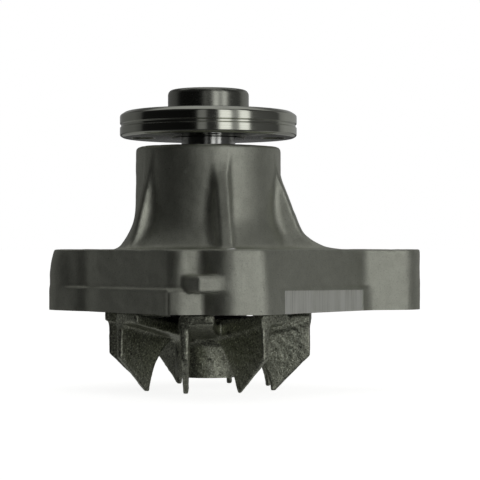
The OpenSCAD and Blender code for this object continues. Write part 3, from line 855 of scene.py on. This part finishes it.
def make_pulley_hub(paint):
    """The turned hub: a pilot boss on a disc with a grooved rim and four tapped holes."""
    low, high = (np.array(c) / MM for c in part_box("pulley_hub"))
    foot, top, disc_r = low[2], high[2], high[0]
    face = foot + 0.25
    shaft_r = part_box("bearing_shaft")[1].x / MM
    groove = foot + 0.47 * (DISC_TOP - foot)
    groove_r = disc_r - RIM_GROOVE_DEPTH
    profile = rounded([
        (shaft_r, foot, 0), (shaft_r + 3.4, foot, 0.1), (shaft_r + 3.6, face, 0.1),
        (disc_r - 1.0, face, 0.35), (disc_r, foot + 0.9, 0.45),
        (disc_r, groove - 0.68, 0.1), (groove_r, groove - 0.36, 0.14),
        (groove_r, groove + 0.36, 0.14), (disc_r, groove + 0.68, 0.1),
        (disc_r, DISC_TOP - 1.3, 0.6), (disc_r - 2.0, DISC_TOP, 0.6),
        (PILOT_R + 0.5, DISC_TOP, 0.2), (PILOT_R, DISC_TOP + 0.5, 0.2), (PILOT_R, top - 1.0, 0.95),
        (PILOT_R - 1.1, top, 0.7), (shaft_r + 1.0, top, 0.15), (shaft_r, top - 1.0, 0.15),
    ])
    hub = lathe("pulley_hub_turned", profile, 360)
    holes = [tapped_hole(*(PULLEY_HOLE_RING_R * facing(a)), face, DISC_TOP) for a in (90, 180, 270, 0)]
    carve(hub, holes, [paint["turned_steel"], paint["turned_steel"]])
    finish_piece(shade(hub, 30), "rotor", "pulley_hub")


def make_spring(paint):
    """The seal spring: round wire with closed, flattened end turns."""
    low, high = (np.array(c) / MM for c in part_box("seal_spring"))
    wire, gap = 0.7, 0.03
    radius = high[0] - wire
    turns, closed = 3.0, 0.3
    path = bpy.data.curves.new("seal_spring_wire", "CURVE")
    path.dimensions = "3D"
    path.bevel_depth = wire * MM
    path.bevel_resolution = 5
    path.use_fill_caps = True
    spline = path.splines.new("POLY")
    count = 260
    spline.points.add(count - 1)
    for i, point in enumerate(spline.points):
        t = i / (count - 1)
        a = 2 * math.pi * turns * t
        climb = ease(0, 1, np.float64(t)) * closed + t * (1 - closed)
        z = low[2] + wire + gap + (high[2] - low[2] - 2 * wire - 2 * gap) * climb
        point.co = (radius * math.cos(a) * MM, radius * math.sin(a) * MM, z * MM, 1)
    spring = bpy.data.objects.new("seal_spring_wire", path)
    bpy.context.scene.collection.objects.link(spring)
    path.materials.append(paint["spring_steel"])
    finish_piece(spring, "housing", "seal_spring")


def paint_cad_nodes(paint):
    """CAD nodes whose shape is right keep it and get a finish."""
    finishes = {
        "bearing_outer_ring": "bearing_steel", "upper_bearing_seal": "black_rubber",
        "lower_bearing_seal": "black_rubber", "seal_cup": "pressed_steel", "seal_bellows": "black_rubber",
        "spring_seat": "pressed_steel", "spring_retainer": "pressed_steel", "carbon_ring": "carbon",
        "bearing_shaft": "bearing_steel", "mating_ring": "ceramic", "mating_ring_boot": "black_rubber",
        "slinger": "pressed_steel", "upper_balls": "ball_steel", "lower_balls": "ball_steel",
        "upper_ball_cage": "cage_nylon", "lower_ball_cage": "cage_nylon",
        "pump_housing": "cast_aluminium", "pulley_hub": "turned_steel", "impeller": "cast_iron",
        "seal_spring": "spring_steel",
    }
    for node, finish in finishes.items():
        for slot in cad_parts[node].material_slots:
            slot.material = paint[finish]


# ---------------------------------------------------------------- studio

# Brightness of the studio round the object: azimuth in degrees from the camera's side towards
# +X, and the level of light that comes from there
STUDIO = (
    (-180, 0.24), (-162, 0.22), (-150, 0.15), (-110, 0.13), (-97, 0.08), (-92, 0.01), (-14, 0.004),
    (-11, 0.22), (-3, 0.22), (0, 0.03), (13, 0.03), (16.5, 1.30), (29, 1.30), (31.5, 0.30), (40, 0.30),
    (42.5, 1.30), (54, 1.25), (57, 0.10), (103, 0.07), (108, 0.24), (120, 0.32), (160, 0.32), (180, 0.26),
)


def make_world():
    """Soft panels round the object, dim above and below them, and plain white where the camera
    looks past the object."""
    world = bpy.data.worlds.new("studio")
    bpy.context.scene.world = world
    world.use_nodes = True
    tree = world.node_tree
    tree.nodes.clear()

    def add(kind, inputs, **settings):
        node = tree.nodes.new(kind)
        for key, value in settings.items():
            setattr(node, key, value)
        for key, value in inputs.items():
            if isinstance(value, bpy.types.NodeSocket):
                tree.links.new(value, node.inputs[key])
            else:
                node.inputs[key].default_value = value
        return node

    def level(value):
        return (value, value, value, 1)

    def times(a, b):
        return add("ShaderNodeMath", {0: a, 1: b}, operation="MULTIPLY").outputs[0]

    def blend(fac, a, b):
        return add("ShaderNodeMix", {0: fac, 6: a, 7: b}, data_type="RGBA").outputs[2]

    def between(value, low, high):
        return add("ShaderNodeMapRange", {"Value": value, "From Min": low, "From Max": high},
                   interpolation_type="SMOOTHSTEP").outputs["Result"]

    coords = add("ShaderNodeTexCoord", {})
    split = add("ShaderNodeSeparateXYZ", {0: coords.outputs["Generated"]})
    height = split.outputs["Z"]
    front = times(split.outputs["Y"], -1.0)
    azimuth = add("ShaderNodeMath", {0: split.outputs["X"], 1: front}, operation="ARCTAN2")
    full_turn = {"Value": azimuth.outputs[0], "From Min": -math.pi, "From Max": math.pi}
    share = add("ShaderNodeMapRange", full_turn)
    ramp = add("ShaderNodeValToRGB", {"Fac": share.outputs["Result"]})
    stops = ramp.color_ramp.elements
    stops[0].color = level(STUDIO[0][1])
    stops[1].color = level(STUDIO[-1][1])
    for degrees, value in STUDIO[1:-1]:
        stops.new((degrees + 180) / 360).color = level(value)
    panels = ramp.outputs["Color"]
    turned = add("ShaderNodeMath", {0: azimuth.outputs[0]}, operation="ABSOLUTE").outputs[0]
    # The panels dim as they rise, and a soft lamp lights from overhead and from high behind
    dimmed = blend(0.72, panels, level(0.03))
    lamp = level(0.42)
    light = blend(between(height, 0.28, 0.62), panels, dimmed)
    light = blend(between(height, 0.90, 0.985), light, lamp)
    light = blend(times(between(turned, 1.5, 2.1), between(height, 0.62, 0.82)), light, lamp)
    # It is dark below in front and brighter below behind
    below = blend(between(turned, 1.0, 1.9), level(0.035), level(0.24))
    light = blend(between(height, -0.10, -0.45), light, below)
    # A dark band just under the horizon behind
    band = times(between(height, 0.03, -0.05), between(height, -0.20, -0.12))
    light = blend(times(between(turned, 1.9, 2.6), band), light, level(0.05))
    rays = add("ShaderNodeLightPath", {})
    seen = blend(rays.outputs["Is Camera Ray"], light, level(1.0))
    background = add("ShaderNodeBackground", {"Color": seen})
    add("ShaderNodeOutputWorld", {"Surface": background.outputs[0]})


def make_floor():
    """A pale floor that the object stands on. It lights nothing and takes a soft contact shadow."""
    mesh = bpy.data.meshes.new("floor")
    half = 30.0
    z = CAD_BOX[0][2] - 0.0002
    corners = [(-half, -half, z), (half, -half, z), (half, half, z), (-half, half, z)]
    mesh.from_pydata(corners, [], [(0, 1, 2, 3)])
    floor = bpy.data.objects.new("floor", mesh)
    bpy.context.scene.collection.objects.link(floor)
    n = Net("pale_floor")
    n.feed(n.shader.inputs["Base Color"], n.mix(n.noise(3, 3), (0.80, 0.80, 0.79, 1), (0.82, 0.82, 0.81, 1)))
    n.shader.inputs["Roughness"].default_value = 0.9
    n.shader.inputs["Specular IOR Level"].default_value = 0.0
    n.shader.inputs["Emission Color"].default_value = (1, 1, 0.995, 1)
    n.shader.inputs["Emission Strength"].default_value = 0.88
    mesh.materials.append(n.material)
    floor.visible_glossy = False
    floor.visible_diffuse = False
    floor.visible_shadow = False


def make_camera():
    """Level with the flange's upper face, 0.6 m in front of the pump."""
    data = bpy.data.cameras.new("camera")
    data.sensor_width = 36
    data.lens = 127.5
    data.shift_y = 0.0194
    data.clip_start = 0.01
    data.clip_end = 100
    camera = bpy.data.objects.new("camera", data)
    camera.location = (0.0111, -0.597, FLANGE_TOP * MM)
    camera.rotation_euler = (math.radians(90), 0, 0)
    bpy.context.scene.collection.objects.link(camera)
    bpy.context.scene.camera = camera


def main():
    paint = make_materials()
    make_camera()
    make_world()
    make_floor()
    paint_cad_nodes(paint)
    make_housing(paint)
    make_impeller(paint)
    make_pulley_hub(paint)
    make_spring(paint)
    bpy.context.scene.view_settings.view_transform = "Standard"


main()
